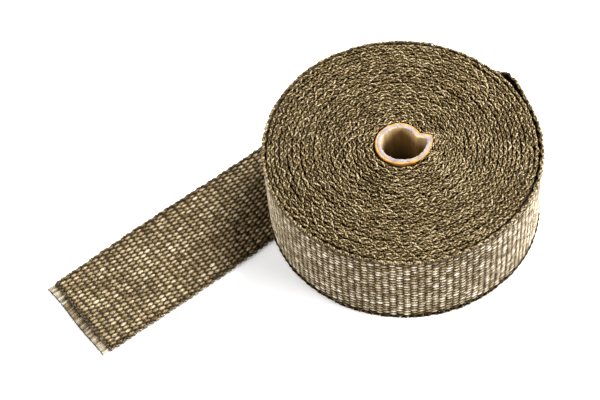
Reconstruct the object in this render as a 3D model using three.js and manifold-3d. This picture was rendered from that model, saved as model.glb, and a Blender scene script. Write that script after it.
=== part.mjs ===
// A roll of woven exhaust heat wrap standing on its end, on a paper core tube.
// The loose outer turn leaves the roll, folds down behind it, passes flat under
// it and comes out on the other side as a straight cut tail.
// Millimetres, +Z up. The roll's axis is upright and the tail runs along -X.

import * as THREE from 'three';
import { mergeVertices } from 'three/addons/utils/BufferGeometryUtils.js';
import Module from 'manifold-3d';

const wasm = await Module();
wasm.setup();

// Tape
const tapeWidth = 50;
const tapeThickness = 2;
const turnPitch = 2.07;
const turns = 26;
const turnRelief = 0.7;
const firstTurnSlack = 0.6;

// Core tube
const coreRadius = 12.3;
const coreWall = 2.9;
const coreProud = 1.2;
const coreShift = new THREE.Vector2(0.7, 0.9);
const creaseRise = 4;
const creaseDip = 0.9;
const creaseAngle = THREE.MathUtils.degToRad(-23);
const creaseLead = THREE.MathUtils.degToRad(98);
const creaseDrop = THREE.MathUtils.degToRad(15);
const creaseRecovery = THREE.MathUtils.degToRad(55);
const creaseInnerTurn = THREE.MathUtils.degToRad(7);

// Loose outer turn, its fold, and the flat tail
const looseTurn = THREE.MathUtils.degToRad(92);
const looseOpening = THREE.MathUtils.degToRad(28);
const looseGap = 0.9;
const foldStandoff = 1;
const foldLead = THREE.MathUtils.degToRad(20);
const foldYaw = THREE.MathUtils.degToRad(4);
const tailNearEdge = 24.6;
const tailReach = 169.5;

// Fits
const coreFit = 0.3;
const underFit = 0.3;

// Facets
const rollSegments = 36;
const looseSegments = 22;
const coreStep = THREE.MathUtils.degToRad(9);

// What follows from them
const firstTurnRadius = coreRadius + coreFit + firstTurnSlack;
const rollRadius = firstTurnRadius + turns * turnPitch;
const tailFarEdge = tailNearEdge + tapeWidth;
const foldRadius = rollRadius + looseGap + foldStandoff + tapeThickness / 2;
const coreLength = tapeWidth + coreProud;

// Closed bodies and joins

function closedBody(geometry) {
  geometry.deleteAttribute('normal');
  geometry.deleteAttribute('uv');
  const merged = mergeVertices(geometry, 1e-5);
  const corners = merged.index.array;
  const triangles = [];
  for (let i = 0; i < corners.length; i += 3) {
    const [a, b, c] = corners.slice(i, i + 3);
    if (a !== b && b !== c && c !== a) {
      triangles.push(a, b, c);
    }
  }
  const mesh = new wasm.Mesh({
    numProp: 3,
    vertProperties: new Float32Array(merged.attributes.position.array),
    triVerts: new Uint32Array(triangles),
  });
  return new wasm.Manifold(mesh);
}

function geometryOf(body) {
  const mesh = body.getMesh();
  const geometry = new THREE.BufferGeometry();
  geometry.setAttribute('position', new THREE.BufferAttribute(mesh.vertProperties, 3));
  geometry.setIndex(new THREE.BufferAttribute(mesh.triVerts, 1));
  geometry.computeVertexNormals();
  return geometry;
}

function upright(points, height, holePoints) {
  const shape = new THREE.Shape(points);
  if (holePoints) {
    shape.holes.push(new THREE.Path(holePoints));
  }
  return new THREE.ExtrudeGeometry(shape, { depth: height, bevelEnabled: false });
}

function ease(share) {
  const s = THREE.MathUtils.clamp(share, 0, 1);
  return s * s * (3 - 2 * s);
}

function polar(radius, angle) {
  return new THREE.Vector2(radius * Math.cos(angle), radius * Math.sin(angle));
}

// Core tube: a wound paper tube whose wall has crept outwards into a sharp
// crease on one side and steps back in behind it

function creasedRadius(base, corner, angle) {
  const turn = THREE.MathUtils.euclideanModulo(angle - corner, 2 * Math.PI);
  if (turn > 2 * Math.PI - creaseLead) {
    return base + creaseRise * (1 - (2 * Math.PI - turn) / creaseLead);
  }
  if (turn < creaseDrop) {
    return base + creaseRise - (creaseRise + creaseDip) * turn / creaseDrop;
  }
  return base - creaseDip * (1 - ease((turn - creaseDrop) / creaseRecovery));
}

function creasedOutline(base, corner, fit) {
  const angles = [corner + creaseDrop / 2];
  const steps = Math.ceil((2 * Math.PI - creaseDrop) / coreStep);
  for (let i = 0; i <= steps; i += 1) {
    angles.push(corner + creaseDrop + (2 * Math.PI - creaseDrop) * i / steps);
  }
  const line = angles.map((angle) => polar(creasedRadius(base, corner, angle), angle));
  return line.map((point, i) => {
    const before = line.at(i - 1);
    const after = line[(i + 1) % line.length];
    const into = point.clone().sub(before).normalize();
    const away = after.clone().sub(point).normalize();
    const along = into.clone().add(away).normalize();
    const spread = fit / along.dot(into);
    return point.clone().add(new THREE.Vector2(along.y, -along.x).multiplyScalar(spread));
  });
}

function coreTube() {
  const outside = creasedOutline(coreRadius, creaseAngle, 0);
  const inside = creasedOutline(coreRadius - coreWall, creaseAngle - creaseInnerTurn, 0);
  return upright(outside, coreLength, inside).translate(coreShift.x, coreShift.y, 0);
}

function coreBore() {
  const outline = creasedOutline(coreRadius, creaseAngle, coreFit);
  const bore = upright(outline, coreLength + tapeWidth);
  return closedBody(bore.translate(coreShift.x, coreShift.y, -tapeWidth / 2));
}

// Roll: one turned body, each turn a rounded ridge on both of its ends, and the
// outermost turn flat underneath

function rollProfile() {
  const top = [new THREE.Vector2(0, tapeWidth - turnRelief)];
  const foot = [new THREE.Vector2(0, turnRelief)];
  for (let i = 0; i < turns; i += 1) {
    const start = firstTurnRadius + i * turnPitch;
    top.push(new THREE.Vector2(start, tapeWidth - turnRelief));
    top.push(new THREE.Vector2(start + turnPitch / 2, tapeWidth));
    foot.push(new THREE.Vector2(start, turnRelief));
    foot.push(new THREE.Vector2(start + turnPitch / 2, 0));
  }
  top.push(new THREE.Vector2(rollRadius, tapeWidth - turnRelief));
  foot.push(new THREE.Vector2(rollRadius, 0));
  return [...foot, ...top.reverse()];
}

function roll() {
  const turned = new THREE.LatheGeometry(rollProfile(), rollSegments);
  return closedBody(turned.rotateX(Math.PI / 2));
}

// The turns above the flat tape are pushed up by its thickness
function tailPassage() {
  const across = 3 * foldRadius;
  const depth = across;
  const height = 2 * (tapeThickness + underFit);
  const passage = new THREE.BoxGeometry(across, depth, height);
  return closedBody(passage.translate(0, tailNearEdge - underFit + depth / 2, 0));
}

// Loose outer turn

function looseRadius(angle) {
  const opened = ease((angle + looseTurn) / looseOpening);
  const led = ease((angle + foldLead) / foldLead);
  return rollRadius - tapeThickness / 2 + (tapeThickness + looseGap) * opened + foldStandoff * led;
}

function looseOuterTurn() {
  const outer = [];
  const inner = [];
  for (let i = 0; i <= looseSegments; i += 1) {
    const angle = -looseTurn * (1 - i / looseSegments);
    const middle = looseRadius(angle);
    outer.push(polar(middle + tapeThickness / 2, angle));
    inner.push(polar(middle - tapeThickness / 2, angle));
  }
  return closedBody(upright([...outer, ...inner.reverse()], tapeWidth));
}

// Fold: the standing tape is turned down along a diagonal, two layers thick,
// with the second layer on the roll's side

function standingLayer(corners, inner) {
  const shape = new THREE.Shape(corners.map(([along, height]) => new THREE.Vector2(along, height)));
  const layer = new THREE.ExtrudeGeometry(shape, { depth: tapeThickness, bevelEnabled: false });
  const [x, y, z] = [new THREE.Vector3(1, 0, 0), new THREE.Vector3(0, 1, 0), new THREE.Vector3(0, 0, 1)];
  layer.applyMatrix4(new THREE.Matrix4().makeBasis(y, z, x));
  layer.translate(inner, 0, 0).rotateZ(foldYaw).translate(foldRadius, 0, 0);
  return closedBody(layer);
}

function fold() {
  const near = tailNearEdge / Math.cos(foldYaw);
  const far = tailFarEdge / Math.cos(foldYaw);
  const seam = -tapeThickness / 2;
  const root = -tapeThickness;
  const arriving = standingLayer([[root, 0], [far, 0], [0, tapeWidth], [root, tapeWidth]], seam);
  const leaving = standingLayer([[near, 0], [far, 0], [0, tapeWidth]], seam - tapeThickness);
  return arriving.add(leaving);
}

// Flat tape: under the roll from the fold, and out to its cut end

function flatTail() {
  const seamAt = (edge) => {
    const seam = (foldRadius * Math.cos(foldYaw) - tapeThickness / 2 - edge * Math.sin(foldYaw));
    return seam / Math.cos(foldYaw);
  };
  const outline = [
    new THREE.Vector2(-tailReach, tailNearEdge),
    new THREE.Vector2(seamAt(tailNearEdge), tailNearEdge),
    new THREE.Vector2(seamAt(tailFarEdge), tailFarEdge),
    new THREE.Vector2(-tailReach, tailFarEdge),
  ];
  return closedBody(upright(outline, tapeThickness));
}

function tape() {
  const wound = roll().subtract(tailPassage()).add(looseOuterTurn()).subtract(coreBore());
  return geometryOf(wound.add(fold()).add(flatTail()));
}

function piece(name, geometry, colour, roughness) {
  const material = new THREE.MeshStandardMaterial({ color: colour, roughness, metalness: 0 });
  const mesh = new THREE.Mesh(geometry, material);
  mesh.name = name;
  return mesh;
}

const heatWrap = new THREE.Group();
heatWrap.add(piece('tape', tape(), 0x7a6a45, 0.7));
heatWrap.add(piece('core_tube', coreTube(), 0xb08a55, 0.85));

// The origin is on the floor under the middle of the whole outline
const middle = new THREE.Box3().setFromObject(heatWrap).getCenter(new THREE.Vector3());
heatWrap.position.set(-middle.x, -middle.y, 0);

export default heatWrap;
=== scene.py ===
"""Roll of woven exhaust heat wrap with a flat tail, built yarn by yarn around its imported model."""

import math

import bpy
import numpy as np
from bpy.props import FloatProperty, FloatVectorProperty, IntProperty, PointerProperty
from mathutils import Matrix, Vector


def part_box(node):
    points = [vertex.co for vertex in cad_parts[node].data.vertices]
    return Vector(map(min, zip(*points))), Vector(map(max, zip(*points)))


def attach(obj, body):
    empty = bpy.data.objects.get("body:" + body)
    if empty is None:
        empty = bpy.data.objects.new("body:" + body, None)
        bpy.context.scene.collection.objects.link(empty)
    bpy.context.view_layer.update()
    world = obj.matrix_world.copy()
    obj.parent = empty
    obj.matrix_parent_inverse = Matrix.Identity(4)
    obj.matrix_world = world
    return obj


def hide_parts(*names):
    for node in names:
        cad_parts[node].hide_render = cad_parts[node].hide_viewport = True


bl_info = {
    "name": "Exhaust heat wrap roll",
    "version": (1, 0, 0),
    "blender": (4, 5, 0),
    "location": "3D View > Sidebar > Heat Wrap",
    "description": "Builds a roll of woven exhaust heat wrap yarn by yarn",
    "category": "Object",
}

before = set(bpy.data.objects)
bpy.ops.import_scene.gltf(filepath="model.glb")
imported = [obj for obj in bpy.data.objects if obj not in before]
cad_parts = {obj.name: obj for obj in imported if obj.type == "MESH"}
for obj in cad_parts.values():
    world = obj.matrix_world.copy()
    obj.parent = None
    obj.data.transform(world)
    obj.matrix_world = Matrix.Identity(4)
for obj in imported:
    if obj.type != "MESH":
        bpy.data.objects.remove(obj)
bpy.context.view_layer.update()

MM = 0.001
FULL_TURN = 2 * math.pi


# Sizes and colours that a user would change

def length_property(name, text, value):
    return FloatProperty(name=name, description=text, default=value, unit="LENGTH")


def colour_property(name, text, value):
    return FloatVectorProperty(name=name, description=text, default=value, subtype="COLOR", size=3)


class WrapSizes(bpy.types.PropertyGroup):
    """Sizes of the tape, the roll and the core."""

    tape_width: length_property("Tape width", "Width of the tape", 0.050)
    tape_thickness: length_property("Tape thickness", "Thickness of the tape", 0.002)
    turn_pitch: length_property("Turn pitch", "From one turn to the next", 0.00207)
    turns: IntProperty(name="Turns", description="Turns wound on the core", default=26)
    roll_radius: length_property("Roll radius", "Where the loose turn leaves", 0.0677)
    warps: IntProperty(name="Warps", description="Yarns along the tape", default=43)
    pick_pitch: length_property("Pick pitch", "From one cross yarn to the next", 0.0034)
    tail_reach: length_property("Tail reach", "Roll axis to the cut end", 0.1695)
    tail_near_edge: length_property("Tail offset", "Roll axis to the tail's near edge", 0.0246)
    fray_length: length_property("Fray length", "Combed fibres at the cut end", 0.0044)


class WrapColours(bpy.types.PropertyGroup):
    """Colours of the fibres and the paper."""

    # Each part has its own pale fibre colour with painted sheen: whitest on the outer turn, where
    # the side lamps shine, and darkest on the edges, which lie in shade.
    edge_fibre_sheen: colour_property(
        "Pale fibre, edges", "Fibres that catch the light on the tape's edges", (0.45, 0.375, 0.24))
    tail_fibre_sheen: colour_property(
        "Pale fibre, tail", "Fibres that catch the light on the tail", (0.71, 0.62, 0.475))
    wall_fibre_sheen: colour_property(
        "Pale fibre, wall", "Fibres that catch the light on the outer turn", (0.87, 0.825, 0.72))
    combed_fibre: colour_property(
        "Combed fibre", "Loose fibres at the cut end", (0.46, 0.42, 0.345))
    fibre_mid: colour_property("Fibre", "Main colour of the yarns", (0.18, 0.118, 0.037))
    # Painted shade: the near black that the yarns fade to deep in the weave, on their flanks and
    # where they dive.
    fibre_in_shade: colour_property("Dark fibre", "Fibres deep in the weave", (0.022, 0.013, 0.004))
    board: colour_property("Board", "Cut edge of the core tube", (0.245, 0.212, 0.215))
    ply: colour_property("Outer ply", "Outer ply of the core tube", (0.46, 0.21, 0.02))
    kraft: colour_property("Kraft", "Inside of the core tube", (0.42, 0.285, 0.125))


def sizes():
    return bpy.context.scene.heat_wrap_sizes


def colours():
    return bpy.context.scene.heat_wrap_colours


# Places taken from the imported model, in millimetres about the roll's axis

TAPE_LOW, TAPE_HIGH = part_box("tape")
CORE_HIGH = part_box("core_tube")[1]
LOOSE_TURN = math.radians(92)
LOOSE_OPENING = math.radians(28)
LOOSE_GAP = 0.9
FOLD_LEAD = math.radians(20)
FOLD_YAW = math.radians(4)
FOLD_RADIUS = 69.92
PHOTO_TURN = math.radians(32.4)
CORE_SHIFT = (0.7, 0.9)


def axis_place():
    """The roll's axis in the row frame, in millimetres."""
    s = sizes()
    x = TAPE_LOW.x / MM + s.tail_reach / MM
    y = TAPE_HIGH.y / MM - (s.tail_near_edge + s.tape_width) / MM
    return np.array([x, y, 0.0])


def ease(share):
    t = np.clip(share, 0, 1)
    return t * t * (3 - 2 * t)


def unit(vectors):
    return vectors / np.maximum(np.linalg.norm(vectors, axis=-1, keepdims=True), 1e-9)


# Mesh making

def mesh_object(name, points, quads, uvs, tints, material, caps=None):
    """A mesh from vertices in millimetres about the roll's axis, its faces and its yarn data."""
    mesh = bpy.data.meshes.new(name)
    placed = (points + axis_place()) * MM
    faces = [np.asarray(quads, np.int32).reshape(-1, 4)]
    if caps is not None and len(caps):
        faces.append(np.asarray(caps, np.int32))
    corners = np.concatenate([f.ravel() for f in faces])
    totals = np.concatenate([np.full(len(f), f.shape[1], np.int32) for f in faces])
    starts = np.concatenate([[0], np.cumsum(totals)[:-1]]).astype(np.int32)
    mesh.vertices.add(len(placed))
    mesh.vertices.foreach_set("co", placed.astype(np.float32).ravel())
    mesh.loops.add(len(corners))
    mesh.loops.foreach_set("vertex_index", corners)
    mesh.polygons.add(len(totals))
    mesh.polygons.foreach_set("loop_start", starts)
    mesh.polygons.foreach_set("use_smooth", np.ones(len(totals), bool))
    layer = mesh.uv_layers.new(name="yarn")
    layer.data.foreach_set("uv", uvs[corners].astype(np.float32).ravel())
    tint = mesh.attributes.new("tint", "FLOAT", "POINT")
    tint.data.foreach_set("value", tints.astype(np.float32))
    mesh.update(calc_edges=True)
    mesh.materials.append(material)
    obj = bpy.data.objects.new(name, mesh)
    bpy.context.scene.collection.objects.link(obj)
    return obj


def strands(name, centre, normal, half_width, half_height, material, sides=6, arc=None, seed=0,
            tint=None, shade=1.5):
    """Yarns as tubes, or as shells open on their hidden side when an arc is given.

    centre and normal are (strand, step, 3); the half sizes and the tint are (strand, step).
    shade is painted shade that darkens the flanks against the crown."""
    count, steps, _ = centre.shape
    along = unit(np.gradient(centre, axis=1))
    across = unit(np.cross(along, normal))
    out = np.cross(across, along)
    if arc is None:
        angles = np.arange(sides) / sides * FULL_TURN + math.pi / sides
    else:
        angles = np.linspace(arc[0], arc[1], sides)
    sideways = np.cos(angles)[None, None, :, None] * half_width[:, :, None, None]
    outwards = np.sin(angles)[None, None, :, None] * half_height[:, :, None, None]
    ring = centre[:, :, None, :] + across[:, :, None, :] * sideways + out[:, :, None, :] * outwards
    points = ring.reshape(-1, 3)
    step = np.linalg.norm(np.diff(centre, axis=1), axis=-1)
    length = np.concatenate([np.zeros((count, 1)), np.cumsum(step, axis=1)], axis=1)
    rng = np.random.default_rng(seed)
    offset = rng.uniform(0, 500, count)
    u = np.broadcast_to((length + offset[:, None])[:, :, None], (count, steps, sides))
    v = np.broadcast_to((angles / math.pi - 0.5)[None, None, :], (count, steps, sides))
    uvs = np.stack([u.ravel(), (v + rng.uniform(0, 50, count)[:, None, None]).ravel()], -1)
    if tint is None:
        tint = rng.uniform(0, 0.7, (count, 1)) * np.ones((1, steps))
    # Painted shade: the tint falls away on the flanks of each yarn, darkest at the sides of its
    # crown.
    flank_shade = np.minimum(np.abs(angles / math.pi - 0.5), 0.7) ** 2
    tints = (tint[:, :, None] - shade * flank_shade[None, None, :]).ravel()
    index = np.arange(count * steps * sides).reshape(count, steps, sides)
    a, b = index[:, :-1, :], index[:, 1:, :]
    if arc is None:
        a_next, b_next = np.roll(a, -1, axis=2), np.roll(b, -1, axis=2)
        caps = np.concatenate([index[:, 0, ::-1], index[:, -1, :]])
    else:
        a, a_next, b, b_next = a[:, :, :-1], a[:, :, 1:], b[:, :, :-1], b[:, :, 1:]
        caps = None
    quads = np.stack([a, a_next, b_next, b], -1).reshape(-1, 4)
    return mesh_object(name, points, quads, uvs, tints, material, caps)


def ride_tape(obj):
    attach(obj, "root")
    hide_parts("tape")


# Weave: every warp floats over one pick and dives under the next

WEAVE_HEIGHT = 0.48
YARN_HALF_HEIGHT = 0.44
WEFT_HALF_WIDTH = 0.62
LOWEST_LOOP = 0.5
FLAT_END = 58.0
FOLD_PICKS = 22


def crimp(phase):
    """Height of a warp between -1, under a pick, and 1, on its float."""
    wave = np.cos(phase)
    return np.sign(wave) * np.abs(wave) ** 0.32


def fullness(phase):
    """How far a yarn has spread: full on its float, pinched where it dives."""
    return np.abs(np.cos(phase)) ** 0.35


def pick_places(first, last):
    """Pick numbers to sample a warp at: closer together where it dives between two picks."""
    whole = np.arange(math.floor(first) - 1, math.ceil(last) + 2)
    places = (whole[:, None] + np.array([-0.5, -0.34, 0.0, 0.34])[None, :]).ravel()
    inside = places[(places > first) & (places < last)]
    return np.concatenate([[first], inside, [last]])


def float_tint(lift, dive_shade, pale, seed):
    """Paleness along the warps: a painted highlight on top of each float, painted shade where the
    yarn dives, and a little drift in tone along each yarn.
    """
    count, steps = lift.shape
    rng = np.random.default_rng(seed)
    yarn = rng.normal(0, 0.06, (count, 1))
    return dive_shade + (pale - dive_shade) * lift + yarn + wander(seed + 1, count, steps, 3, 0.12)


def wander(seed, count, length, span, size):
    """Slow random drift along yarns: count rows of length samples, smooth over span samples."""
    rng = np.random.default_rng(seed)
    knots = max(4, int(length / span) + 3)
    values = rng.normal(0, size, (count, knots))
    places = np.linspace(0, knots - 1.001, length)
    low = places.astype(int)
    share = ease(places - low)
    return values[:, low] * (1 - share) + values[:, low + 1] * share


def tail_spread(x):
    """Half of the width that the tail's yarns take at x: it swells a little between its ends."""
    s = sizes()
    share = (x + s.tail_reach / MM) / (s.tail_reach / MM - 50)
    swell = 0.8 * np.sin(math.pi * np.clip(share, 0, 1)) ** 2
    return 24.3 + swell + 0.12 * np.sin(x * 0.31) + 0.1 * np.sin(x * 0.83 + 1.3)


def standing_height(w):
    """Height of the warp at w where the tape stands on its edge."""
    width = sizes().tape_width / MM
    return np.maximum(width / 2 + (0.5 - w) * (width - 0.2), 1.0)


def route(w):
    """Key points and face normals of one warp from the cut end to the fold's root.

    w is the warp's place across the tape, from 0 at the near edge to 1 at the far edge."""
    s = sizes()
    width = s.tape_width / MM
    thick = s.tape_thickness / MM
    near = s.tail_near_edge / MM
    start = -s.tail_reach / MM + s.fray_length / MM
    flat_x = np.linspace(start, FLAT_END, 120)
    flat_n = near + width / 2 + (w - 0.5) * 2 * tail_spread(flat_x)
    flat = np.stack([flat_x, flat_n, np.full_like(flat_x, thick / 2)], -1)
    up = np.tile([0.0, 0.0, 1.0], (len(flat), 1))
    cos_yaw, sin_yaw = math.cos(FOLD_YAW), math.sin(FOLD_YAW)
    place = (near + w * width) / cos_yaw
    diagonal = (near + width) / cos_yaw
    height = float(standing_height(w))
    bend = [[-3.4, place, thick / 2], [-2.2, place, 1.9], [-2.0, place * 0.985, 4.0]]
    bend_normals = [[-0.2, 0, 1.0], [-0.8, 0, 0.5], [-1.0, 0, 0]]
    top = [diagonal * w, height]
    if height < 6:
        bend, bend_normals = bend[:2], bend_normals[:2]
    seam = [[-1.9, top[0] + 0.4, top[1] - 1.2], [-1.0, top[0] + 0.5, top[1]],
            [0.0, top[0] - 1.0, top[1]]]
    seam_normals = [[-0.9, 0.1, 0.2], [0.0, 0.56, 0.83], [0.9, 0.1, 0.1]]
    root = [[0.0, 0.0, top[1]]]
    if top[0] < 2:
        seam, seam_normals = seam[:2], seam_normals[:2]
    local = np.array(bend + seam + root)
    normals = np.array(bend_normals + seam_normals + [[1.0, 0, 0]])
    turn = np.array([[cos_yaw, sin_yaw, 0], [-sin_yaw, cos_yaw, 0], [0, 0, 1]])
    local = local @ turn + [FOLD_RADIUS, 0, 0]
    normals = normals @ turn
    return np.concatenate([flat, local]), np.concatenate([up, normals]), len(flat)


def at_places(places, known, values):
    """Points of a path at places, from its values at the known places."""
    return np.stack([np.interp(places, known, values[:, k]) for k in range(3)], -1)


def even_path(points, normals, flat_count, flat_picks, fold_picks, places):
    """The path smoothed, and its points and face normals at the pick places."""
    dense_step = 0.3
    gaps = np.linalg.norm(np.diff(points, axis=0), axis=1)
    length = np.concatenate([[0], np.cumsum(gaps)])
    dense = np.arange(0, length[-1], dense_step)
    window = np.hanning(11)
    window /= window.sum()
    pad = 5

    def soften(values):
        extended = np.concatenate(
            [np.repeat(values[:1], pad, 0), values, np.repeat(values[-1:], pad, 0)])
        return np.stack([np.convolve(extended[:, k], window, "valid") for k in range(3)], -1)

    path = soften(at_places(dense, length, points))
    face = unit(soften(at_places(dense, length, normals)))
    gaps = np.linalg.norm(np.diff(path, axis=0), axis=1)
    length = np.concatenate([[0], np.cumsum(gaps)])
    flat_length = points[flat_count - 1, 0] - points[0, 0]
    pick = np.where(length < flat_length, length / flat_length * flat_picks,
                    flat_picks + (length - flat_length) / (length[-1] - flat_length) * fold_picks)
    return at_places(places, pick, path), unit(at_places(places, pick, face))


def tail_picks():
    """Number of picks on the flat tape and on the fold."""
    s = sizes()
    length = FLAT_END + (s.tail_reach - s.fray_length) / MM
    return int(round(length / (s.pick_pitch / MM))), FOLD_PICKS


def tail_surface(across):
    """Paths along the tail and fold at shares across the tape, and their pick places."""
    flat, fold = tail_picks()
    pick = pick_places(0, flat + fold)
    rows = [even_path(*route(w), flat, fold, pick) for w in across]
    return np.stack([row[0] for row in rows]), np.stack([row[1] for row in rows]), pick


def at_picks(values, pick, places):
    """Values along the tail's paths, read between their samples at other pick places."""
    column = np.interp(places, pick, np.arange(len(pick)))
    low = column.astype(int)
    high = np.minimum(low + 1, len(pick) - 1)
    share = (column - low)[:, None]
    return values[..., low, :] * (1 - share) + values[..., high, :] * share


def warp_places():
    """Shares across the tape of all the warps."""
    warps = sizes().warps
    return (np.arange(warps) + 0.5) / warps


def relax_across(centre, normal, drift):
    """Shifts yarns sideways by their drift."""
    along = unit(np.gradient(centre, axis=1))
    side = unit(np.cross(along, normal))
    return centre + side * drift[:, :, None]


class WRAP_OT_tail(bpy.types.Operator):
    """Weave the flat tail and the fold behind the roll"""

    bl_idname = "heat_wrap.tail"
    bl_label = "Tail"

    def execute(self, context):
        yarn = yarn_material("warp_yarn_tail", colours().tail_fibre_sheen, 0.3)
        places = warp_places()
        centre, normal, pick = tail_surface(places)
        count, steps = centre.shape[:2]
        phase = math.pi * (pick[None, :] + np.arange(count)[:, None])
        phase = phase + wander(3, count, steps, 30, 0.16)
        lift = crimp(phase)
        float_share = fullness(phase)
        fatness = 1 + wander(7, count, steps, 9, 0.07)
        centre = relax_across(centre, normal, wander(9, count, steps, 14, 0.10))
        centre = centre + normal * (lift * WEAVE_HEIGHT)[:, :, None]
        half_width = (0.50 + 0.46 * float_share) * fatness
        half_height = np.full_like(half_width, YARN_HALF_HEIGHT) * (0.92 + 0.1 * float_share)
        tint = float_tint(lift, -0.40, 0.62, 13)
        tint[[0, -1]] -= 0.30
        # Painted shade at the root of the combed fibres: the first steps of every warp are darkened.
        tint[:, :2] -= 0.4
        ride_tape(strands("tail_warps", centre, normal, half_width, half_height, yarn, 6, tint=tint,
                          shade=2.8))
        self.cross_yarns()
        surface, facing, _ = tail_surface(np.linspace(0.008, 0.992, 9))
        weave_middle("tail_weave_middle", surface[:, ::4], facing[:, ::4])
        return {"FINISHED"}

    def cross_yarns(self):
        """The picks, with a loop round the edge from each one to the next."""
        flat, fold = tail_picks()
        across = np.linspace(-0.004, 1.004, sizes().warps + 1)
        centre, normal, pick = tail_surface(np.clip(across, 0, 1))
        numbers = np.arange(1, flat + fold - 1)
        line = at_picks(centre, pick, numbers).transpose(1, 0, 2)
        face = unit(at_picks(normal, pick, numbers)).transpose(1, 0, 2)
        count, steps = line.shape[:2]
        sway = np.cos(math.pi * (np.arange(count)[:, None] + np.arange(steps)[None, :] - 0.5))
        line = line + face * (-0.12 * sway)[:, :, None]
        thick = np.full((count, steps), WEFT_HALF_WIDTH)
        ride_tape(strands("tail_wefts", line, face, thick, thick * 0.5, weft_yarn(), 5, seed=21))
        self.edge_loops(centre, normal, pick)

    def edge_loops(self, centre, normal, pick):
        """Loops of the cross yarn round the outermost warps of the tail, on both edges."""
        tau = np.linspace(0, 1, 9)
        paths, faces = [], []
        for edge, inner in ((0, 1), (-1, -2)):
            for number in range(0, int(pick[-1]) - 2):
                swing = -0.55 if number % 2 == 0 else 0.55
                places = number + 0.5 - 0.5 * np.cos(math.pi * tau)
                rim = at_picks(centre[edge], pick, places)
                inward = at_picks(centre[inner], pick, places)
                face = unit(at_picks(normal[edge], pick, places))
                out = unit(rim - inward)
                reach = (-1.2 + 1.95 * np.sin(math.pi * tau))[:, None]
                height = (swing * np.cos(math.pi * tau))[:, None]
                paths.append(rim + out * reach + face * height)
                faces.append(face)
        path, face = np.stack(paths), np.stack(faces)
        path[..., 2] = np.maximum(path[..., 2], LOWEST_LOOP)
        thick = np.full(path.shape[:2], 0.58)
        rng = np.random.default_rng(25)
        # Painted shade: darker where each loop dives into the weave, paler at its crown, with random
        # tone.
        tint = -0.45 + 0.95 * np.sin(math.pi * tau) ** 2 + rng.normal(0, 0.12, (len(path), 1))
        ride_tape(strands("tail_edge_loops", path, face, thick, thick * 0.85,
                          edge_yarn(1), 6, seed=23, tint=tint))


def weave_middle(name, centre, normal):
    """A thin dark sheet in the middle of the weave, painted shade that closes the gaps between the
    yarns.
    """
    half = 0.16
    rows, steps = centre.shape[:2]
    top = (centre + normal * half).reshape(-1, 3)
    bottom = (centre - normal * half).reshape(-1, 3)
    index = np.arange(rows * steps).reshape(rows, steps)
    a, b = index[:-1, :-1], index[:-1, 1:]
    c, d = index[1:, 1:], index[1:, :-1]
    upper = np.stack([a, b, c, d], -1).reshape(-1, 4)
    lower = upper[:, ::-1] + rows * steps
    rim = np.concatenate([index[0, :], index[1:, -1], index[-1, -2::-1], index[-2:0:-1, 0]])
    ahead = np.roll(rim, -1)
    wall = np.stack([rim, rim + rows * steps, ahead + rows * steps, ahead], -1)
    points = np.concatenate([top, bottom])
    ride_tape(mesh_object(name, points, np.concatenate([upper, lower, wall]), points[:, :2] * 0.5,
                          np.full(len(points), 0.5), ground_material()))


# Roll

def outer_radius(travel):
    """Middle of the tape at an angle of travel back from the fold's root, outermost turn first."""
    s = sizes()
    pitch = s.turn_pitch / MM
    thick = s.tape_thickness / MM
    wound = s.roll_radius / MM - thick / 2
    back = np.maximum(travel - LOOSE_TURN, 0)
    spiral = wound - pitch * back / FULL_TURN
    opened = ease((LOOSE_TURN - travel) / LOOSE_OPENING)
    led = ease((FOLD_LEAD - travel) / FOLD_LEAD)
    uneven = (0.20 * np.sin(5.3 * travel + 2.0 * np.sin(0.31 * travel))
              + 0.12 * np.sin(11.7 * travel))
    inside = ease((travel - FULL_TURN - 0.25) / 0.4)
    return spiral + uneven * inside + LOOSE_GAP * opened + (FOLD_RADIUS - wound - LOOSE_GAP) * led


def roll_point(travel, radius, height):
    """A point of the roll, with its slight oval and the crease of the core pressed through."""
    angle = -travel
    photo = angle + PHOTO_TURN
    share = np.clip(radius / 67.0, 0, 1)
    oval = (0.45 + 0.75 * np.cos(2 * (photo - math.radians(150)))) * share ** 2
    settled = ease((travel - 0.02) / 0.5)
    fade = (1 - np.clip((radius - CREASE_FROM) / CREASE_DEPTH, 0, 1)) ** 2
    shift_x, shift_y = CORE_SHIFT[0] * fade, CORE_SHIFT[1] * fade
    r = radius + oval * settled + crease_bump(angle) * fade
    return np.stack([r * np.cos(angle) + shift_x, r * np.sin(angle) + shift_y, height], -1)


CREASE_ANGLE = math.radians(-23)
CREASE_LEAD = math.radians(98)
CREASE_DROP = math.radians(15)
CREASE_RECOVERY = math.radians(55)
CREASE_RISE = 4.0
CREASE_DIP = 0.9
CREASE_FROM = 13.0
CREASE_DEPTH = 22.0


def crease_bump(angle, corner=CREASE_ANGLE):
    """How far the creased tube stands out from a round one at an angle."""
    turn = np.mod(angle - corner, FULL_TURN)
    rising = CREASE_RISE * (1 - (FULL_TURN - turn) / CREASE_LEAD)
    falling = CREASE_RISE - (CREASE_RISE + CREASE_DIP) * turn / CREASE_DROP
    resting = -CREASE_DIP * (1 - ease((turn - CREASE_DROP) / CREASE_RECOVERY))
    behind = np.where(turn < CREASE_DROP, falling, resting)
    return np.where(turn > FULL_TURN - CREASE_LEAD, rising, behind)


def winding():
    """Angles of travel along the whole winding, with the pick number at each."""
    s = sizes()
    travel = np.linspace(0, LOOSE_TURN + s.turns * FULL_TURN, 20000)
    radius = outer_radius(travel)
    length = np.concatenate([[0], np.cumsum(np.diff(travel) * radius[1:])])
    return travel, sum(tail_picks()) + length / (s.pick_pitch / MM)


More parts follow.
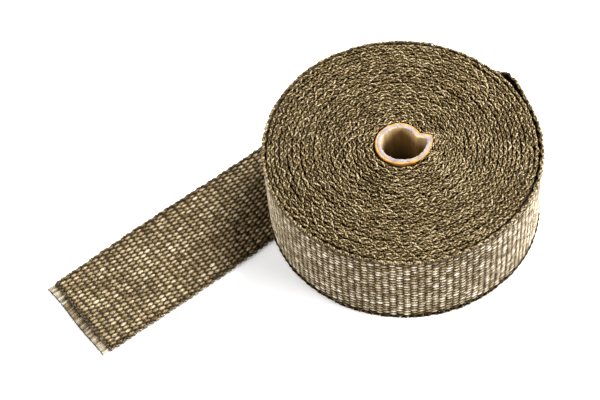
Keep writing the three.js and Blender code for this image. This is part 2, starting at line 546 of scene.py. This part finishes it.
class WRAP_OT_wall(bpy.types.Operator):
    """Weave the outermost turn of the roll"""

    bl_idname = "heat_wrap.wall"
    bl_label = "Outer turn"

    def execute(self, context):
        end = FULL_TURN + math.radians(14)
        all_travel, all_pick = winding()
        pick = pick_places(all_pick[0], np.interp(end, all_travel, all_pick))
        travel = np.interp(pick, all_pick, all_travel)
        places = warp_places()[1:-1]
        count, steps = len(places), len(travel)
        height = standing_height(places)
        where = np.broadcast_to(travel, (count, steps))
        radius = outer_radius(where)
        phase = math.pi * (pick[None, :] + 1 + np.arange(count)[:, None])
        phase = phase + wander(31, count, steps, 30, 0.16)
        lift = crimp(phase)
        float_share = fullness(phase)
        level = height[:, None] + wander(33, count, steps, 14, 0.10)
        centre = roll_point(where, radius, level)
        normal = unit(roll_point(where, radius + 1, level) - centre)
        centre = centre + normal * (lift * WEAVE_HEIGHT)[:, :, None]
        fatness = 1 + wander(35, count, steps, 9, 0.07)
        half_width = (0.50 + 0.46 * float_share) * fatness
        half_height = np.full_like(half_width, YARN_HALF_HEIGHT)
        tint = float_tint(lift, -0.45, 0.68, 39)
        # Painted shade: the two top rows are darkened against the light from above, and the lowest
        # row is darkened as the floor's shade.
        tint[0] -= 0.55
        tint[1] -= 0.20
        tint[-1] -= 0.5
        arc = (math.radians(-25), math.radians(205))
        yarn = yarn_material("warp_yarn_wall", colours().wall_fibre_sheen, 0.12)
        ride_tape(strands("outer_turn_warps", centre, normal, half_width, half_height, yarn, 5,
                          arc=arc, tint=tint, seed=41, shade=2.4))
        self.cross_yarns(travel, pick)
        self.middle(end)
        return {"FINISHED"}

    def middle(self, end):
        travel, level = np.meshgrid(np.linspace(-0.02, end, 150), np.linspace(49.75, 0.8, 5))
        radius = outer_radius(travel)
        level[0] += proud(travel[0], radius[0], level[0, 0])
        centre = roll_point(travel, radius, level)
        normal = unit(roll_point(travel, radius + 1, level) - centre)
        weave_middle("outer_turn_weave_middle", centre, normal)

    def cross_yarns(self, travel, pick):
        s = sizes()
        numbers = np.arange(int(pick[0]) + 1, int(pick[-1]))
        places = np.linspace(0.0, 1.0, s.warps + 1)
        height = (1 - places) * (s.tape_width / MM - 1.6) + 0.8
        where = np.interp(numbers, pick, travel)
        where = np.broadcast_to(where[:, None], (len(where), len(height)))
        radius = outer_radius(where)
        level = np.broadcast_to(height, where.shape)
        centre = roll_point(where, radius, level)
        normal = unit(roll_point(where, radius + 1, level) - centre)
        thick = np.full(where.shape, WEFT_HALF_WIDTH)
        arc = (math.radians(-10), math.radians(190))
        ride_tape(strands("outer_turn_wefts", centre, normal, thick, thick * 0.5, weft_yarn(), 4,
                          arc=arc, seed=43))


def raised(travel, radius):
    """The turns that the flat tape passes under are pushed up by its thickness."""
    place = roll_point(travel, radius, 0 * radius)
    return 2.3 * ease((place[..., 1] - sizes().tail_near_edge / MM + 2.0) / 1.8)


def proud(travel, radius, level):
    """Some turns stand a little higher than their neighbours on the upper end."""
    if level < 10:
        return 0 * travel
    wave = (np.sin(radius * 0.62 + 1.1 * np.sin(travel * 0.9))
            + 0.6 * np.sin(travel * 0.37 + radius * 1.9))
    return 0.16 * wave + 0.7 * (1 - ease((radius - 13) / 8))


class WRAP_OT_ends(bpy.types.Operator):
    """Show the edges of all the turns on both ends of the roll"""

    bl_idname = "heat_wrap.ends"
    bl_label = "Ends of the roll"

    def execute(self, context):
        top = sizes().tape_width / MM
        below = FULL_TURN + math.radians(12)
        self.edge_warps("top_edge_warps_outer", top, -0.56, 0, 0.0, 5, 51)
        self.edge_warps("top_edge_warps_inner", top, -1.80, 1, below, 5, 53)
        self.edge_loops("top_edge_loops", top, 1, 7, 6, 55)
        self.edge_warps("bottom_edge_warps", 0.0, 0.72, 0, 0.0, 4, 57)
        self.edge_loops("bottom_edge_loops", 0.0, -1, 6, 4, 59)
        self.body(top)
        return {"FINISHED"}

    def edge_warps(self, name, level, sink, order, first, sides, seed):
        """One of the tape's outermost warps, all the way along the winding from a travel angle."""
        travel, pick = winding()
        place = pick_places(np.interp(first, travel, pick), pick[-1])
        travel = np.interp(place, pick, travel)
        radius = outer_radius(travel)
        steps = len(travel)
        phase = math.pi * (place + order) + wander(seed, 1, steps, 25, 0.35)[0]
        lift = crimp(phase) * (1 + wander(seed + 4, 1, steps, 9, 0.15)[0])
        sway = wander(seed + 1, 1, steps, 16, 0.10)[0]
        bob = wander(seed + 2, 1, steps, 12, 0.14)[0]
        height = level + sink + bob + proud(travel, radius, level)
        if level < 10:
            height = np.maximum(height + raised(travel, radius), 0.66)
        base = roll_point(travel, radius, height)
        normal = unit(roll_point(travel, radius + 1, height) - base)
        centre = base + normal * (lift * 0.56 + sway)[:, None]
        share = fullness(phase)
        half_width = 0.42 + 0.18 * share
        half_height = np.full_like(half_width, 0.44)
        # Painted highlight on each float and painted shade where the warp dives, with a little drift
        # in tone; the lower end gets more painted shade from the floor.
        tint = 0.20 + 0.38 * np.cos(phase)[None, :] ** 2 + wander(seed + 3, 1, steps, 7, 0.16)
        if level < 10:
            tint = tint - 0.30
        ride_tape(strands(name, centre[None], normal[None], half_width[None], half_height[None],
                          edge_yarn(1 if level > 10 else -1), sides, seed=seed, tint=tint))

    def edge_loops(self, name, level, up, steps, sides, seed):
        """The cross yarn turns round the edge warp at each pick, from one face to the other."""
        travel, pick = winding()
        numbers = np.arange(int(pick[0]) + 1, int(pick[-1]) - 1)
        rng = np.random.default_rng(seed)
        count = len(numbers)
        tau = np.linspace(0, 1, steps)

        def vary(size):
            return rng.normal(0, size, (count, 1))

        place = numbers[:, None] + 0.5 + vary(0.07) - (0.5 + vary(0.05)) * np.cos(math.pi * tau)
        where = np.interp(place, pick, travel)
        radius = outer_radius(where)
        rise = np.sin(math.pi * tau) ** 1.2 * (1 + vary(0.10))
        swing = np.where(numbers % 2 == 0, -1.0, 1.0)[:, None]
        outermost = np.where(where < FULL_TURN + 0.1, 1.0, 0.0)
        through = swing * np.cos(math.pi * tau) * (0.82 + vary(0.12))
        around = (0.15 if up > 0 else 0.55) + 0.7 * np.abs(np.cos(math.pi * tau))
        side = through * (1 - outermost) + around * outermost + vary(0.12)
        reach = 1.28 + (0.3 if up > 0 else 0.7) * outermost
        height = level + up * (0.13 - reach + reach * rise) + proud(where, radius, level)
        if level < 10:
            height = np.maximum(height + raised(where, radius), 0.36 + 0.26 * outermost)
        base = roll_point(where, radius, height)
        normal = unit(roll_point(where, radius + 1, height) - base)
        centre = base + normal * side[:, :, None]
        thick = (0.42 + 0.14 * outermost) * (1 + vary(0.12))
        across = np.broadcast_to(np.array([0.0, 0.0, float(up)]), centre.shape)
        # Painted shade: each loop is darker where it dives into the weave and paler at its crown. On
        # the lower end of the outermost turn the loops are painted dark where they come down to the
        # floor, as its shade, and paler where they bulge out.
        tint = 0.56 * np.sin(math.pi * tau) ** 2 + vary(0.14)
        if up < 0:
            outer_floor_shade = -0.35 + 0.95 * np.abs(np.cos(math.pi * tau))
            tint = tint * (1 - outermost) + outermost * outer_floor_shade
        ride_tape(strands(name, centre, across, thick, thick * 0.85, edge_yarn(up), sides,
                          seed=seed, tint=tint))

    def body(self, top):
        """A dark body as painted shade for the inside of the winding, seen only between the yarns.
        """
        angles = np.linspace(0, FULL_TURN, 96, endpoint=False)
        radii = (15.0, 30.0, 45.0, 60.0)
        rows = [(radius, top - 1.9) for radius in radii]
        rows += [(65.3, top - 2.2), (65.6, top - 3.1), (65.6, 3.4)]
        rows += [(radius, 3.1) for radius in reversed(radii)]
        even = np.ones_like(angles)
        rings = [roll_point(FULL_TURN - angles, even * radius, even * height)
                 for radius, height in rows]
        points, quads = closed_rings(np.stack(rings))
        ride_tape(mesh_object("roll_inside", points, quads[:, [0, 3, 2, 1]], points[:, :2] * 0.5,
                              np.full(len(points), 0.4), ground_material()))


def closed_rings(rings):
    """Points and faces of a body from rings, each joined to the next and the last to the first."""
    count, around = rings.shape[:2]
    index = np.arange(count * around).reshape(count, around)
    ahead = np.roll(index, -1, axis=1)
    quads = np.stack([index, ahead, np.roll(ahead, -1, axis=0), np.roll(index, -1, axis=0)], -1)
    return rings.reshape(-1, 3), quads.reshape(-1, 4)


class WRAP_OT_cut_end(bpy.types.Operator):
    """Comb out the fibres at the cut end of the tail"""

    bl_idname = "heat_wrap.cut_end"
    bl_label = "Cut end"

    def execute(self, context):
        s = sizes()
        rng = np.random.default_rng(71)
        bundles, each = s.warps, 14
        count = bundles * each
        near = s.tail_near_edge / MM
        width = s.tape_width / MM
        start = -s.tail_reach / MM
        root = start + s.fray_length / MM + 1.0
        t = np.array([0.0, 0.12, 0.3, 0.5, 0.7, 0.9, 0.93, 1.0])
        # Tone along each fibre: painted shade at the root beside the last pick, and a dark line at
        # the cut tip.
        tones = np.array([-0.9, -0.6, -0.2, 0.1, 0.2, 0.1, -1.4, -1.4])
        steps = len(t)
        half = tail_spread(np.array([root]))[0]
        bundle = np.repeat(np.arange(bundles), each)
        share = (bundle + 0.5) / bundles
        middle = near + width / 2 + (share - 0.5) * 2 * half
        spread = rng.uniform(-1, 1, count)
        lean = np.repeat(rng.normal(0, 0.14, bundles), each) + 1.1 * ease((share - 0.72) / 0.28)
        open_out = 0.30 + 0.62 * t[None, :]
        lean = (lean + rng.normal(0, 0.06, count))[:, None]
        y = middle[:, None] + spread[:, None] * open_out + lean * t
        y = np.clip(y, near + width / 2 - half - 0.5, near + width / 2 + half + 0.5)
        tip = start + 0.35 + 0.22 * np.sin(share * 9.0 + 1.0) + np.abs(rng.normal(0, 0.12, count))
        x = root + (tip[:, None] - root) * t[None, :]
        level = 1.55 - 0.9 * np.abs(spread) * rng.uniform(0.6, 1.2, count)
        z = 0.2 + level[:, None] * (1 - 0.55 * t[None, :])
        centre = np.stack([x, y, z], -1)
        normal = np.broadcast_to(np.array([0.0, 0.0, 1.0]), centre.shape)
        thick = np.broadcast_to(0.19 * (1 - 0.1 * t), (count, steps)).copy()
        ends = np.abs(2 * share - 1) ** 2
        patch = np.repeat(rng.normal(0, 0.20, bundles), each)
        tint = 0.30 + 0.62 * ends + patch + rng.normal(0, 0.24, count)
        tint = tint[:, None] * np.ones((1, steps)) + tones
        fibre = yarn_material("combed_fibre", colours().combed_fibre, 0.4)
        ride_tape(strands("cut_end_fibres", centre, normal, thick, thick * 0.8, fibre, 4, seed=73,
                          tint=tint))
        return {"FINISHED"}


# Core tube

CORE_RADIUS = 12.3
CORE_WALL = 2.9
CREASE_INNER_TURN = math.radians(7)
CORE_AROUND = 160


def core_ring(share, base, height, frayed=0.0):
    """A ring of the tube at a share of its wall from outside to inside."""
    corner = CREASE_ANGLE - CREASE_INNER_TURN * share
    angles = corner + base
    radius = CORE_RADIUS - CORE_WALL * share - frayed + crease_bump(angles, corner)
    x = CORE_SHIFT[0] + radius * np.cos(angles)
    y = CORE_SHIFT[1] + radius * np.sin(angles)
    return np.stack([x, y, np.broadcast_to(height, angles.shape)], -1)


class WRAP_OT_core(bpy.types.Operator):
    """Make the creased paper tube with its plies and worn edges"""

    bl_idname = "heat_wrap.core"
    bl_label = "Core tube"

    def execute(self, context):
        top = CORE_HIGH.z / MM
        around = CORE_AROUND
        base = np.linspace(0, FULL_TURN, around, endpoint=False)
        ragged = wander(85, 1, around, 3, 0.10)[0]
        fray = wander(87, 1, around, 2, 0.16)[0]
        shares = [0.0, 0.02, 0.1, 0.3, 0.33, 0.37, 0.6, 0.85, 0.97, 1.0]
        lifts = [-0.5, -0.12, 0.0, 0.0, -0.14, 0.0, 0.03, 0.0, -0.1, -0.45]
        foot = [0.7, 0.35, 0.0]
        rows = [core_ring(share, base, top + lift + ragged * 0.9 - 0.12, fray * share ** 6)
                for share, lift in zip(shares, lifts)]
        rows += [core_ring(1.0, base, height) for height in np.linspace(top - 2, 0.15, 14)]
        rows += [core_ring(share, base, 0.0) for share in foot]
        rows += [core_ring(0.0, base, height) for height in np.linspace(1.0, top - 1.0, 8)]
        flat, quads = closed_rings(np.stack(rows))
        count = len(rows)
        depth = np.repeat(np.concatenate([shares, np.full(14, 1.0), foot, np.zeros(8)]), around)
        torn = 0.34 * np.exp(-((base - 0.22) / 0.16) ** 2)
        depth = np.where((depth > 0.3) & (depth < 0.99), depth + np.tile(torn, count), depth)
        depth[around * 10:around * 24] = 1.6
        uvs = np.stack([np.tile(base * 12, count), flat[:, 2]], -1)
        tube = mesh_object("core_tube_paper", flat, quads, uvs, depth, paper_material())
        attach(tube, "root")
        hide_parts("core_tube")
        return {"FINISHED"}


# Materials

def group_socket(group, name, direction, kind, value=None):
    socket = group.interface.new_socket(name=name, in_out=direction, socket_type=kind)
    if value is not None:
        socket.default_value = value


PLY_LAY = 1.35


def fibre_group():
    """Filaments lying along a yarn: a colour share, a roughness and a bump height."""
    name = "Yarn filaments"
    if name in bpy.data.node_groups:
        return bpy.data.node_groups[name]
    group = bpy.data.node_groups.new(name, "ShaderNodeTree")
    group_socket(group, "Fineness", "INPUT", "NodeSocketFloat", 9.0)
    group_socket(group, "Tint", "INPUT", "NodeSocketFloat", 0.5)
    group_socket(group, "Twist", "INPUT", "NodeSocketFloat", 0.0)
    group_socket(group, "Paleness", "OUTPUT", "NodeSocketFloat")
    group_socket(group, "Roughness", "OUTPUT", "NodeSocketFloat")
    group_socket(group, "Height", "OUTPUT", "NodeSocketFloat")
    nodes, links = group.nodes, group.links
    given = nodes.new("NodeGroupInput")
    put = nodes.new("NodeGroupOutput")
    uv = nodes.new("ShaderNodeUVMap")
    uv.uv_map = "yarn"
    split = nodes.new("ShaderNodeSeparateXYZ")
    links.new(uv.outputs["UV"], split.inputs[0])
    along = math_node(nodes, links, "MULTIPLY", split.outputs["X"], 0.8)
    across = math_node(nodes, links, "MULTIPLY", split.outputs["Y"], given.outputs["Fineness"])
    joined = nodes.new("ShaderNodeCombineXYZ")
    links.new(along, joined.inputs["X"])
    links.new(across, joined.inputs["Y"])
    fine = add_noise(nodes, links, joined.outputs[0], 1.6, 3.0)
    fine.inputs["Roughness"].default_value = 0.65
    place = nodes.new("ShaderNodeTexCoord")
    cloud = add_noise(nodes, links, place.outputs["Object"], 60.0, 2.0)
    streak = math_node(nodes, links, "MULTIPLY_ADD", fine.outputs["Fac"], 2.6, -1.3)
    drift = math_node(nodes, links, "MULTIPLY_ADD", cloud.outputs["Fac"], 0.3, -0.15)
    lay = math_node(nodes, links, "MULTIPLY_ADD", split.outputs["Y"], 1.2, split.outputs["X"])
    lay = math_node(nodes, links, "MULTIPLY", lay, FULL_TURN / PLY_LAY)
    lay = math_node(nodes, links, "SINE", lay)
    ply = math_node(nodes, links, "MULTIPLY", lay, given.outputs["Twist"])
    total = math_node(nodes, links, "ADD", streak, drift)
    total = math_node(nodes, links, "ADD", total, ply)
    total = math_node(nodes, links, "ADD", total, given.outputs["Tint"])
    clamp = nodes.new("ShaderNodeClamp")
    links.new(total, clamp.inputs["Value"])
    links.new(clamp.outputs[0], put.inputs["Paleness"])
    rough = math_node(nodes, links, "MULTIPLY_ADD", fine.outputs["Fac"], -0.3, 0.52)
    links.new(rough, put.inputs["Roughness"])
    links.new(fine.outputs["Fac"], put.inputs["Height"])
    return group


def math_node(nodes, links, operation, *values):
    node = nodes.new("ShaderNodeMath")
    node.operation = operation
    for socket, value in zip(node.inputs, values):
        if isinstance(value, (int, float)):
            socket.default_value = value
        else:
            links.new(value, socket)
    return node.outputs[0]


def add_noise(nodes, links, vector, scale, detail):
    noise = nodes.new("ShaderNodeTexNoise")
    noise.inputs["Scale"].default_value = scale
    noise.inputs["Detail"].default_value = detail
    links.new(vector, noise.inputs["Vector"])
    return noise


def add_bump(nodes, links, height, shader, strength, distance):
    bump = nodes.new("ShaderNodeBump")
    bump.inputs["Strength"].default_value = strength
    bump.inputs["Distance"].default_value = distance
    links.new(height, bump.inputs["Height"])
    links.new(bump.outputs[0], shader.inputs["Normal"])


def new_material(name):
    material = bpy.data.materials.new(name)
    material.use_nodes = True
    nodes, links = material.node_tree.nodes, material.node_tree.links
    nodes.clear()
    shader = nodes.new("ShaderNodeBsdfPrincipled")
    output = nodes.new("ShaderNodeOutputMaterial")
    links.new(shader.outputs[0], output.inputs["Surface"])
    return material, nodes, links, shader


def three_tone(nodes, links, factor, dark, middle, pale):
    ramp = nodes.new("ShaderNodeValToRGB")
    ramp.color_ramp.elements[0].color = (*dark, 1)
    ramp.color_ramp.elements[1].color = (*pale, 1)
    mid = ramp.color_ramp.elements.new(0.45)
    mid.color = (*middle, 1)
    links.new(factor, ramp.inputs["Fac"])
    return ramp.outputs["Color"]


def yarn_material(name, pale, gloss, twist=0.0):
    """Spun mineral fibre: dark olive brown, with pale filaments that shine along the yarn."""
    if name in bpy.data.materials:
        return bpy.data.materials[name]
    c = colours()
    material, nodes, links, shader = new_material(name)
    # The tint attribute carries the painted highlights and painted shade of the yarns along with
    # their random tone.
    tint = nodes.new("ShaderNodeAttribute")
    tint.attribute_name = "tint"
    fibre = nodes.new("ShaderNodeGroup")
    fibre.node_tree = fibre_group()
    fibre.inputs["Fineness"].default_value = 6.0
    fibre.inputs["Twist"].default_value = twist
    links.new(tint.outputs["Fac"], fibre.inputs["Tint"])
    colour = three_tone(nodes, links, fibre.outputs["Paleness"], c.fibre_in_shade, c.fibre_mid, pale)
    links.new(colour, shader.inputs["Base Color"])
    links.new(fibre.outputs["Roughness"], shader.inputs["Roughness"])
    shader.inputs["Specular IOR Level"].default_value = gloss
    add_bump(nodes, links, fibre.outputs["Height"], shader, 0.55, 0.00012)
    return material


def weft_yarn():
    # Painted shade: the wefts reach only the main fibre colour, darker than the warps, as they lie
    # between them.
    return yarn_material("weft_yarn", colours().fibre_mid, 0.05)


def edge_yarn(up):
    """The edge yarns, without a sheen on the lower end, where the floor would show in it."""
    if up > 0:
        return yarn_material("edge_yarn", colours().edge_fibre_sheen, 0.12, 0.36)
    return yarn_material("edge_yarn_low", colours().edge_fibre_sheen, 0.0, 0.36)


def ground_material():
    """The shaded middle of the weave."""
    name = "weave_middle"
    if name in bpy.data.materials:
        return bpy.data.materials[name]
    c = colours()
    material, nodes, links, shader = new_material(name)
    place = nodes.new("ShaderNodeTexCoord")
    grain = add_noise(nodes, links, place.outputs["Object"], 900.0, 3.0)
    low = tuple(v * 0.5 for v in c.fibre_in_shade)
    high = tuple(v * 1.3 for v in c.fibre_in_shade)
    colour = three_tone(nodes, links, grain.outputs["Fac"], low, tuple(c.fibre_in_shade), high)
    links.new(colour, shader.inputs["Base Color"])
    shader.inputs["Roughness"].default_value = 0.9
    add_bump(nodes, links, grain.outputs["Fac"], shader, 0.5, 0.0003)
    return material


def paper_material():
    """Wound paper: an ochre outer ply, a pale board edge and a brown kraft inside, with painted
    shade down the bore.
    """
    c = colours()
    material, nodes, links, shader = new_material("core_paper")
    depth = nodes.new("ShaderNodeAttribute")
    depth.attribute_name = "tint"
    place = nodes.new("ShaderNodeTexCoord")
    grain = add_noise(nodes, links, place.outputs["Object"], 700.0, 4.0)
    stretch = nodes.new("ShaderNodeMapping")
    stretch.inputs["Scale"].default_value = (260.0, 260.0, 22.0)
    links.new(place.outputs["Object"], stretch.inputs["Vector"])
    streaks = add_noise(nodes, links, stretch.outputs[0], 1.0, 3.0)
    ragged = math_node(nodes, links, "MULTIPLY_ADD", grain.outputs["Fac"], 1.5, -0.75)
    level = math_node(nodes, links, "ADD", depth.outputs["Fac"], ragged)
    ramp = nodes.new("ShaderNodeValToRGB")
    ramp.color_ramp.elements[0].color = (*c.ply, 1)
    ramp.color_ramp.elements[0].position = 0.22
    ramp.color_ramp.elements[1].color = (*c.kraft, 1)
    ramp.color_ramp.elements[1].position = 0.99
    for position, colour in ((0.31, c.board), (0.92, c.board)):
        stop = ramp.color_ramp.elements.new(position)
        stop.color = (*colour, 1)
    links.new(level, ramp.inputs["Fac"])
    shade = math_node(nodes, links, "MULTIPLY_ADD", streaks.outputs["Fac"], 1.4, 0.27)
    split = nodes.new("ShaderNodeSeparateXYZ")
    links.new(place.outputs["Object"], split.inputs[0])
    # Painted shade: the paper darkens towards the bottom of the tube, down its bore.
    inside = nodes.new("ShaderNodeMapRange")
    inside.inputs["From Min"].default_value = 0.020
    inside.inputs["From Max"].default_value = 0.051
    inside.inputs["To Min"].default_value = 0.12
    inside.inputs["To Max"].default_value = 1.0
    links.new(split.outputs["Z"], inside.inputs["Value"])
    shade = math_node(nodes, links, "MULTIPLY", shade, inside.outputs["Result"])
    mixed = nodes.new("ShaderNodeMix")
    mixed.data_type = "RGBA"
    mixed.blend_type = "MULTIPLY"
    mixed.inputs["Factor"].default_value = 1.0
    grey = nodes.new("ShaderNodeCombineColor")
    for channel in ("Red", "Green", "Blue"):
        links.new(shade, grey.inputs[channel])
    links.new(ramp.outputs["Color"], mixed.inputs["A"])
    links.new(grey.outputs[0], mixed.inputs["B"])
    links.new(mixed.outputs["Result"], shader.inputs["Base Color"])
    shader.inputs["Roughness"].default_value = 0.85
    add_bump(nodes, links, grain.outputs["Fac"], shader, 0.4, 0.0004)
    return material


# Floor, light and camera

PHOTO_WIDTH = 600
FOCAL_PIXELS = 1673.1
CAMERA_DISTANCE = 863.0
CAMERA_ELEVATION = 0.973907
CAMERA_ROLL = -0.11352
LOOK_AT = (-51.59, 9.21, 0.0)


def photo_to_row(vector, point=False):
    """Turns a vector of the photograph's frame into the row frame."""
    turned = Matrix.Rotation(-PHOTO_TURN, 3, "Z") @ Vector(vector)
    if point:
        turned = turned + Vector(axis_place())
    return turned


class WRAP_OT_stage(bpy.types.Operator):
    """Set the pale floor, the soft light and the camera"""

    bl_idname = "heat_wrap.stage"
    bl_label = "Stage"

    def execute(self, context):
        self.floor()
        self.lights()
        self.camera(context)
        return {"FINISHED"}

    def floor(self):
        mesh = bpy.data.meshes.new("floor")
        reach = 3.0
        corners = [(-reach, -reach, 0), (reach, -reach, 0), (reach, reach, 0), (-reach, reach, 0)]
        mesh.from_pydata(corners, [], [(0, 1, 2, 3)])
        material, nodes, links, shader = new_material("pale_floor")
        grain = nodes.new("ShaderNodeTexNoise")
        grain.inputs["Scale"].default_value = 8.0
        colour = three_tone(nodes, links, grain.outputs["Fac"], (0.93, 0.93, 0.935),
                            (0.94, 0.94, 0.945), (0.95, 0.95, 0.955))
        links.new(colour, shader.inputs["Base Color"])
        shader.inputs["Roughness"].default_value = 0.8
        shader.inputs["Specular IOR Level"].default_value = 0.2
        # Painted light: the floor glows, and the glow is painted out under the roll as its shadow,
        # which darkens the core's bore and the roll's foot.
        place = nodes.new("ShaderNodeTexCoord")
        offset = nodes.new("ShaderNodeVectorMath")
        offset.operation = "SUBTRACT"
        offset.inputs[1].default_value = tuple(axis_place() * MM)
        links.new(place.outputs["Object"], offset.inputs[0])
        distance = nodes.new("ShaderNodeVectorMath")
        distance.operation = "LENGTH"
        links.new(offset.outputs[0], distance.inputs[0])
        floor_beyond_shadow = nodes.new("ShaderNodeMapRange")
        floor_beyond_shadow.inputs["From Min"].default_value = 0.062
        floor_beyond_shadow.inputs["From Max"].default_value = 0.069
        links.new(distance.outputs["Value"], floor_beyond_shadow.inputs["Value"])
        floor_glow_and_shadow = three_tone(nodes, links, floor_beyond_shadow.outputs["Result"], (0.02, 0.02, 0.02),
                          (0.44, 0.445, 0.46), (0.97, 0.98, 1.0))
        links.new(floor_glow_and_shadow, shader.inputs["Emission Color"])
        shader.inputs["Emission Strength"].default_value = 0.28
        mesh.materials.append(material)
        floor = bpy.data.objects.new("floor", mesh)
        bpy.context.scene.collection.objects.link(floor)

    def lights(self):
        world = bpy.data.worlds.new("studio")
        world.use_nodes = True
        background = world.node_tree.nodes["Background"]
        background.inputs["Color"].default_value = (1, 1, 1, 1)
        background.inputs["Strength"].default_value = 0.14
        bpy.context.scene.world = world
        self.area("low_left", (-790, -250, 230), 420, 8.5)
        self.area("low_right", (700, -400, 230), 420, 12.5)
        self.area("key_back_right", (410, 320, 800), 420, 24)

    def area(self, name, place, size, power):
        light = bpy.data.lights.new(name, "AREA")
        light.shape = "DISK"
        light.size = size * MM
        light.energy = power
        obj = bpy.data.objects.new(name, light)
        bpy.context.scene.collection.objects.link(obj)
        position = photo_to_row(place, point=True)
        target = photo_to_row((-30, 0, 10), point=True)
        obj.location = position * MM
        obj.rotation_euler = (target - position).to_track_quat("-Z", "Y").to_euler()

    def camera(self, context):
        elevation = CAMERA_ELEVATION
        forward = Vector((0, math.cos(elevation), -math.sin(elevation)))
        right = Vector((1, 0, 0))
        up = Vector((0, math.sin(elevation), math.cos(elevation)))
        cos_roll, sin_roll = math.cos(CAMERA_ROLL), math.sin(CAMERA_ROLL)
        rolled_right = right * cos_roll + up * sin_roll
        rolled_up = up * cos_roll - right * sin_roll
        place = Vector(LOOK_AT) - forward * CAMERA_DISTANCE
        data = bpy.data.cameras.new("camera")
        data.sensor_width = 36.0
        data.sensor_fit = "HORIZONTAL"
        data.lens = FOCAL_PIXELS / PHOTO_WIDTH * data.sensor_width
        data.clip_start = 0.01
        data.clip_end = 20
        camera = bpy.data.objects.new("camera", data)
        context.scene.collection.objects.link(camera)
        axes = [photo_to_row(axis) for axis in (rolled_right, rolled_up, -forward)]
        turn = Matrix(axes).transposed()
        placed = Matrix.Translation(photo_to_row(place, point=True) * MM)
        camera.matrix_world = placed @ turn.to_4x4()
        context.scene.camera = camera
        context.scene.view_settings.view_transform = "Standard"


class WRAP_PT_panel(bpy.types.Panel):
    """Sizes, colours and the steps that build the roll"""

    bl_idname = "WRAP_PT_panel"
    bl_label = "Heat wrap"
    bl_space_type = "VIEW_3D"
    bl_region_type = "UI"
    bl_category = "Heat Wrap"

    def draw(self, context):
        for group in (sizes(), colours()):
            box = self.layout.box()
            for name in group.bl_rna.properties.keys():
                if name not in ("rna_type", "name"):
                    box.prop(group, name)
        for operator in OPERATORS:
            self.layout.operator(operator.bl_idname)


OPERATORS = (
    WRAP_OT_core,
    WRAP_OT_wall,
    WRAP_OT_ends,
    WRAP_OT_tail,
    WRAP_OT_cut_end,
    WRAP_OT_stage,
)
CLASSES = (WrapSizes, WrapColours, *OPERATORS, WRAP_PT_panel)


def register():
    for cls in CLASSES:
        bpy.utils.register_class(cls)
    bpy.types.Scene.heat_wrap_sizes = PointerProperty(type=WrapSizes)
    bpy.types.Scene.heat_wrap_colours = PointerProperty(type=WrapColours)


def unregister():
    del bpy.types.Scene.heat_wrap_colours
    del bpy.types.Scene.heat_wrap_sizes
    for cls in reversed(CLASSES):
        bpy.utils.unregister_class(cls)


def main():
    register()
    bpy.ops.heat_wrap.core()
    bpy.ops.heat_wrap.wall()
    bpy.ops.heat_wrap.ends()
    bpy.ops.heat_wrap.tail()
    bpy.ops.heat_wrap.cut_end()
    bpy.ops.heat_wrap.stage()


if __name__ == "__main__":
    main()
